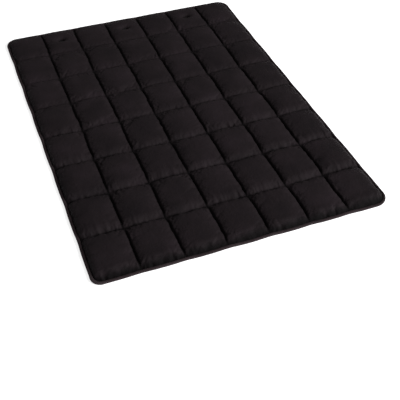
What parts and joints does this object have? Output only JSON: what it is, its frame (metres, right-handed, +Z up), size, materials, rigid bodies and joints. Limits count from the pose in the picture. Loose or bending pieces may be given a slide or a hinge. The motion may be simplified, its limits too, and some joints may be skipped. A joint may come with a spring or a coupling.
{
  "type": "quilted roll-up blanket",
  "caption": "Padded quilted travel blanket with pillow cells and a corded edge, lying flat, that rolls up and fastens with a press-stud strap.",
  "frame": {"origin": "on the floor under the middle of the blanket when it lies flat", "axes": "+X across the columns of pillows, +Y along the blanket to the end with the press studs, +Z up"},
  "size_m": [0.7, 1, 0.019],
  "materials": {
    "cover_cloth": "matte woven polyester, near black with a slightly warm cast",
    "wadding": "loose polyester wadding",
    "binding": "matte woven binding tape",
    "strap_webbing": "matte woven cloth, unpadded",
    "ring_metal": "bright nickel-plated press-stud ring",
    "stud_metal": "black-coated press stud",
    "label": "white rubbery label",
    "tag": "woven tag, white with a red border"
  },
  "bodies": {
    "row_1": {"top_cover_row_1": "cover_cloth", "wadding_row_1": "wadding", "under_cover_row_1": "cover_cloth", "binding_end_row_1": "binding", "strap_hem": "strap_webbing", "stow_stud_1": "stud_metal", "stow_stud_2": "stud_metal", "stow_stud_3": "stud_metal", "stow_cap_1": "stud_metal", "stow_cap_2": "stud_metal", "stow_cap_3": "stud_metal"},
    "row_2": {"top_cover_row_2": "cover_cloth", "wadding_row_2": "wadding", "under_cover_row_2": "cover_cloth", "binding_left_row_2": "binding", "binding_right_row_2": "binding"},
    "row_3": {"top_cover_row_3": "cover_cloth", "wadding_row_3": "wadding", "under_cover_row_3": "cover_cloth", "binding_left_row_3": "binding", "binding_right_row_3": "binding"},
    "row_4": {"top_cover_row_4": "cover_cloth", "wadding_row_4": "wadding", "under_cover_row_4": "cover_cloth", "binding_left_row_4": "binding", "binding_right_row_4": "binding"},
    "row_5": {"top_cover_row_5": "cover_cloth", "wadding_row_5": "wadding", "under_cover_row_5": "cover_cloth", "binding_left_row_5": "binding", "binding_right_row_5": "binding", "closure_stud_1": "stud_metal", "closure_stud_2": "stud_metal", "closure_stud_3": "stud_metal", "square_tag": "tag"},
    "row_6": {"top_cover_row_6": "cover_cloth", "wadding_row_6": "wadding", "under_cover_row_6": "cover_cloth", "binding_left_row_6": "binding", "binding_right_row_6": "binding"},
    "row_7": {"top_cover_row_7": "cover_cloth", "wadding_row_7": "wadding", "under_cover_row_7": "cover_cloth", "binding_left_row_7": "binding", "binding_right_row_7": "binding"},
    "row_8": {"top_cover_row_8": "cover_cloth", "wadding_row_8": "wadding", "under_cover_row_8": "cover_cloth", "binding_end_row_8": "binding"},
    "strap_base": {"strap_base": "strap_webbing"},
    "strap_end": {"strap_end": "strap_webbing", "ring_stud_1": "ring_metal", "ring_stud_2": "ring_metal", "ring_stud_3": "ring_metal", "pill_label": "label"}
  },
  "joints": [
    {"name": "roll_1_2", "type": "hinge", "parent": "row_1", "child": "row_2", "pos_m": [0, 0.369, 0.008], "axis": [-1, 0, 0], "range_deg": [0, 76.5]},
    {"name": "roll_2_3", "type": "hinge", "parent": "row_2", "child": "row_3", "pos_m": [0, 0.246, 0.008], "axis": [-1, 0, 0], "range_deg": [0, 67.5]},
    {"name": "roll_3_4", "type": "hinge", "parent": "row_3", "child": "row_4", "pos_m": [0, 0.123, 0.008], "axis": [-1, 0, 0], "range_deg": [0, 69.5]},
    {"name": "roll_4_5", "type": "hinge", "parent": "row_4", "child": "row_5", "pos_m": [0, 0, 0.008], "axis": [-1, 0, 0], "range_deg": [0, 77.5]},
    {"name": "roll_5_6", "type": "hinge", "parent": "row_5", "child": "row_6", "pos_m": [0, -0.123, 0.008], "axis": [-1, 0, 0], "range_deg": [0, 86]},
    {"name": "roll_6_7", "type": "hinge", "parent": "row_6", "child": "row_7", "pos_m": [0, -0.246, 0.008], "axis": [-1, 0, 0], "range_deg": [0, 96]},
    {"name": "roll_7_8", "type": "hinge", "parent": "row_7", "child": "row_8", "pos_m": [0, -0.369, 0.008], "axis": [-1, 0, 0], "range_deg": [0, 127]},
    {"name": "strap_fold", "type": "hinge", "parent": "row_1", "child": "strap_base", "pos_m": [0, 0.482, 0.0016], "axis": [1, 0, 0], "range_deg": [0, 180]},
    {"name": "strap_bend", "type": "hinge", "parent": "strap_base", "child": "strap_end", "pos_m": [0, 0.462, 0.0016], "axis": [1, 0, 0], "range_deg": [0, 74]}
  ],
  "couplings": [
    {"joint": "roll_2_3", "follows": "roll_1_2", "ratio": 0.8823},
    {"joint": "roll_3_4", "follows": "roll_1_2", "ratio": 0.9084},
    {"joint": "roll_4_5", "follows": "roll_1_2", "ratio": 1.013},
    {"joint": "roll_5_6", "follows": "roll_1_2", "ratio": 1.1241},
    {"joint": "roll_6_7", "follows": "roll_1_2", "ratio": 1.2549},
    {"joint": "roll_7_8", "follows": "roll_1_2", "ratio": 1.6601},
    {"joint": "strap_bend", "follows": "strap_fold", "ratio": 0.4111}
  ]
}
